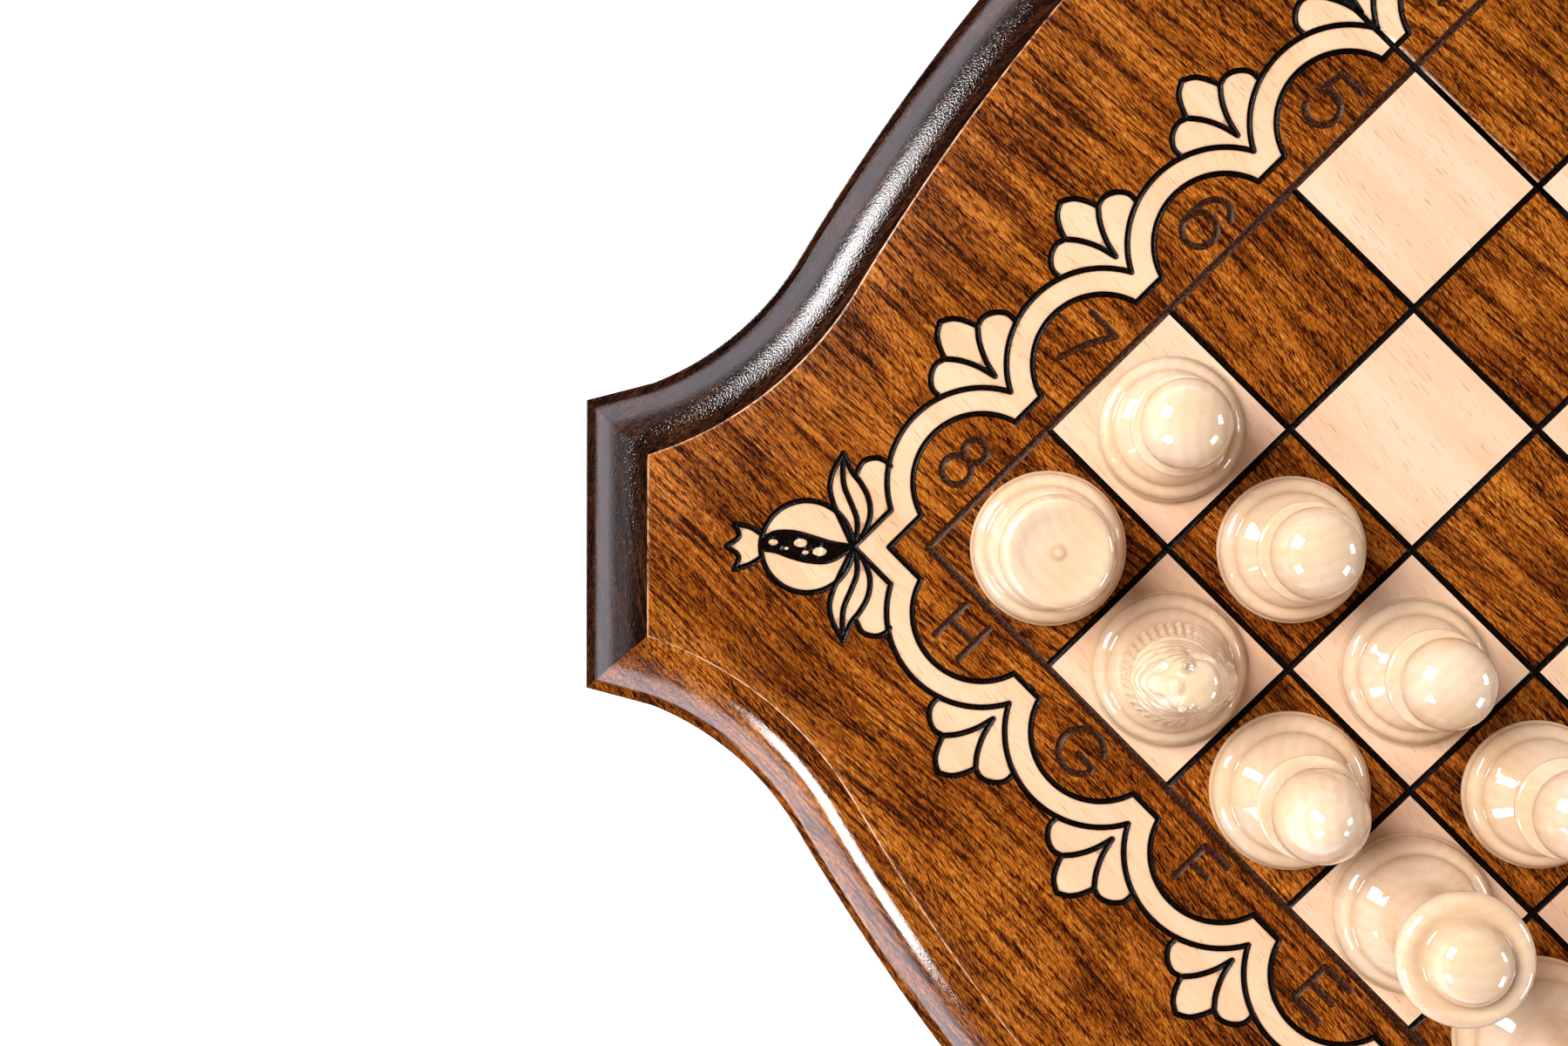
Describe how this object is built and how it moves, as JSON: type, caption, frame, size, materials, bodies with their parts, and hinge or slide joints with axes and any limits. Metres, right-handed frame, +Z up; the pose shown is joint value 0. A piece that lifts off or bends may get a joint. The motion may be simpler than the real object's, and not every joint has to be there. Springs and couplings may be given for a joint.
{
  "type": "chess set with board",
  "caption": "Folding wooden case board with bowed sides, clipped corners and a moulded edge, set up with a full set of turned chess pieces that lift off.",
  "frame": {"origin": "middle of the opened board, in the plane that the hinge knuckles rest on", "axes": "+Z up; +X along a rank from file h to file a; +Y along a file from rank 8 to rank 1; the fold line is the X axis's vertical plane"},
  "size_m": [0.499, 0.499, 0.1058],
  "materials": {
    "stained_panel": "stained beech under gloss lacquer, light squares left unstained",
    "stained_moulding": "dark stained beech under gloss lacquer",
    "case_felt": "felt",
    "hinge_brass": "brushed",
    "magnet_steel": "nickel plated",
    "light_wood": "pale hardwood under gloss lacquer",
    "dark_wood": "dark stained hardwood under gloss lacquer"
  },
  "bodies": {
    "half_a": {"top_panel_a": "stained_panel", "outer_rail_a": "stained_moulding", "left_rail_a": "stained_moulding", "right_rail_a": "stained_moulding", "left_corner_rail_a": "stained_moulding", "right_corner_rail_a": "stained_moulding", "spine_rail_a": "stained_moulding", "felt_lining_a": "case_felt", "magnets_a": "magnet_steel", "hinge_leaves_a": "hinge_brass", "hinge_screws_a": "hinge_brass", "hinge_pins": "hinge_brass"},
    "half_b": {"top_panel_b": "stained_panel", "outer_rail_b": "stained_moulding", "left_rail_b": "stained_moulding", "right_rail_b": "stained_moulding", "left_corner_rail_b": "stained_moulding", "right_corner_rail_b": "stained_moulding", "spine_rail_b": "stained_moulding", "felt_lining_b": "case_felt", "magnets_b": "magnet_steel", "hinge_leaves_b": "hinge_brass", "hinge_screws_b": "hinge_brass"},
    "light_rook_h8": {"light_rook_h8": "light_wood"},
    "light_pawn_h7": {"light_pawn_h7": "light_wood"},
    "light_knight_g8": {"light_knight_g8": "light_wood", "light_knight_head_g8": "light_wood"},
    "light_pawn_g7": {"light_pawn_g7": "light_wood"},
    "light_bishop_f8": {"light_bishop_f8": "light_wood"},
    "light_pawn_f7": {"light_pawn_f7": "light_wood"},
    "light_queen_e8": {"light_queen_e8": "light_wood"},
    "light_pawn_e7": {"light_pawn_e7": "light_wood"},
    "light_king_d8": {"light_king_d8": "light_wood"},
    "light_pawn_d7": {"light_pawn_d7": "light_wood"},
    "light_bishop_c8": {"light_bishop_c8": "light_wood"},
    "light_pawn_c7": {"light_pawn_c7": "light_wood"},
    "light_knight_b8": {"light_knight_b8": "light_wood", "light_knight_head_b8": "light_wood"},
    "light_pawn_b7": {"light_pawn_b7": "light_wood"},
    "light_rook_a8": {"light_rook_a8": "light_wood"},
    "light_pawn_a7": {"light_pawn_a7": "light_wood"},
    "dark_rook_h1": {"dark_rook_h1": "dark_wood"},
    "dark_pawn_h2": {"dark_pawn_h2": "dark_wood"},
    "dark_knight_g1": {"dark_knight_g1": "dark_wood", "dark_knight_head_g1": "dark_wood"},
    "dark_pawn_g2": {"dark_pawn_g2": "dark_wood"},
    "dark_bishop_f1": {"dark_bishop_f1": "dark_wood"},
    "dark_pawn_f2": {"dark_pawn_f2": "dark_wood"},
    "dark_queen_e1": {"dark_queen_e1": "dark_wood"},
    "dark_pawn_e2": {"dark_pawn_e2": "dark_wood"},
    "dark_king_d1": {"dark_king_d1": "dark_wood"},
    "dark_pawn_d2": {"dark_pawn_d2": "dark_wood"},
    "dark_bishop_c1": {"dark_bishop_c1": "dark_wood"},
    "dark_pawn_c2": {"dark_pawn_c2": "dark_wood"},
    "dark_knight_b1": {"dark_knight_b1": "dark_wood", "dark_knight_head_b1": "dark_wood"},
    "dark_pawn_b2": {"dark_pawn_b2": "dark_wood"},
    "dark_rook_a1": {"dark_rook_a1": "dark_wood"},
    "dark_pawn_a2": {"dark_pawn_a2": "dark_wood"}
  },
  "joints": [
    {"name": "board_fold", "type": "hinge", "parent": "half_a", "child": "half_b", "pos_m": [0, 0, 0.0015], "axis": [-1, 0, 0], "range_deg": [0, 180]},
    {"name": "light_rook_h8_lift", "type": "slide", "parent": "half_a", "child": "light_rook_h8", "axis": [0, 0, 1], "range_m": [0, 0.12]},
    {"name": "light_pawn_h7_lift", "type": "slide", "parent": "half_a", "child": "light_pawn_h7", "axis": [0, 0, 1], "range_m": [0, 0.12]},
    {"name": "light_knight_g8_lift", "type": "slide", "parent": "half_a", "child": "light_knight_g8", "axis": [0, 0, 1], "range_m": [0, 0.12]},
    {"name": "light_pawn_g7_lift", "type": "slide", "parent": "half_a", "child": "light_pawn_g7", "axis": [0, 0, 1], "range_m": [0, 0.12]},
    {"name": "light_bishop_f8_lift", "type": "slide", "parent": "half_a", "child": "light_bishop_f8", "axis": [0, 0, 1], "range_m": [0, 0.12]},
    {"name": "light_pawn_f7_lift", "type": "slide", "parent": "half_a", "child": "light_pawn_f7", "axis": [0, 0, 1], "range_m": [0, 0.12]},
    {"name": "light_queen_e8_lift", "type": "slide", "parent": "half_a", "child": "light_queen_e8", "axis": [0, 0, 1], "range_m": [0, 0.12]},
    {"name": "light_pawn_e7_lift", "type": "slide", "parent": "half_a", "child": "light_pawn_e7", "axis": [0, 0, 1], "range_m": [0, 0.12]},
    {"name": "light_king_d8_lift", "type": "slide", "parent": "half_a", "child": "light_king_d8", "axis": [0, 0, 1], "range_m": [0, 0.12]},
    {"name": "light_pawn_d7_lift", "type": "slide", "parent": "half_a", "child": "light_pawn_d7", "axis": [0, 0, 1], "range_m": [0, 0.12]},
    {"name": "light_bishop_c8_lift", "type": "slide", "parent": "half_a", "child": "light_bishop_c8", "axis": [0, 0, 1], "range_m": [0, 0.12]},
    {"name": "light_pawn_c7_lift", "type": "slide", "parent": "half_a", "child": "light_pawn_c7", "axis": [0, 0, 1], "range_m": [0, 0.12]},
    {"name": "light_knight_b8_lift", "type": "slide", "parent": "half_a", "child": "light_knight_b8", "axis": [0, 0, 1], "range_m": [0, 0.12]},
    {"name": "light_pawn_b7_lift", "type": "slide", "parent": "half_a", "child": "light_pawn_b7", "axis": [0, 0, 1], "range_m": [0, 0.12]},
    {"name": "light_rook_a8_lift", "type": "slide", "parent": "half_a", "child": "light_rook_a8", "axis": [0, 0, 1], "range_m": [0, 0.12]},
    {"name": "light_pawn_a7_lift", "type": "slide", "parent": "half_a", "child": "light_pawn_a7", "axis": [0, 0, 1], "range_m": [0, 0.12]},
    {"name": "dark_rook_h1_lift", "type": "slide", "parent": "half_b", "child": "dark_rook_h1", "axis": [0, 0, 1], "range_m": [0, 0.12]},
    {"name": "dark_pawn_h2_lift", "type": "slide", "parent": "half_b", "child": "dark_pawn_h2", "axis": [0, 0, 1], "range_m": [0, 0.12]},
    {"name": "dark_knight_g1_lift", "type": "slide", "parent": "half_b", "child": "dark_knight_g1", "axis": [0, 0, 1], "range_m": [0, 0.12]},
    {"name": "dark_pawn_g2_lift", "type": "slide", "parent": "half_b", "child": "dark_pawn_g2", "axis": [0, 0, 1], "range_m": [0, 0.12]},
    {"name": "dark_bishop_f1_lift", "type": "slide", "parent": "half_b", "child": "dark_bishop_f1", "axis": [0, 0, 1], "range_m": [0, 0.12]},
    {"name": "dark_pawn_f2_lift", "type": "slide", "parent": "half_b", "child": "dark_pawn_f2", "axis": [0, 0, 1], "range_m": [0, 0.12]},
    {"name": "dark_queen_e1_lift", "type": "slide", "parent": "half_b", "child": "dark_queen_e1", "axis": [0, 0, 1], "range_m": [0, 0.12]},
    {"name": "dark_pawn_e2_lift", "type": "slide", "parent": "half_b", "child": "dark_pawn_e2", "axis": [0, 0, 1], "range_m": [0, 0.12]},
    {"name": "dark_king_d1_lift", "type": "slide", "parent": "half_b", "child": "dark_king_d1", "axis": [0, 0, 1], "range_m": [0, 0.12]},
    {"name": "dark_pawn_d2_lift", "type": "slide", "parent": "half_b", "child": "dark_pawn_d2", "axis": [0, 0, 1], "range_m": [0, 0.12]},
    {"name": "dark_bishop_c1_lift", "type": "slide", "parent": "half_b", "child": "dark_bishop_c1", "axis": [0, 0, 1], "range_m": [0, 0.12]},
    {"name": "dark_pawn_c2_lift", "type": "slide", "parent": "half_b", "child": "dark_pawn_c2", "axis": [0, 0, 1], "range_m": [0, 0.12]},
    {"name": "dark_knight_b1_lift", "type": "slide", "parent": "half_b", "child": "dark_knight_b1", "axis": [0, 0, 1], "range_m": [0, 0.12]},
    {"name": "dark_pawn_b2_lift", "type": "slide", "parent": "half_b", "child": "dark_pawn_b2", "axis": [0, 0, 1], "range_m": [0, 0.12]},
    {"name": "dark_rook_a1_lift", "type": "slide", "parent": "half_b", "child": "dark_rook_a1", "axis": [0, 0, 1], "range_m": [0, 0.12]},
    {"name": "dark_pawn_a2_lift", "type": "slide", "parent": "half_b", "child": "dark_pawn_a2", "axis": [0, 0, 1], "range_m": [0, 0.12]}
  ]
}
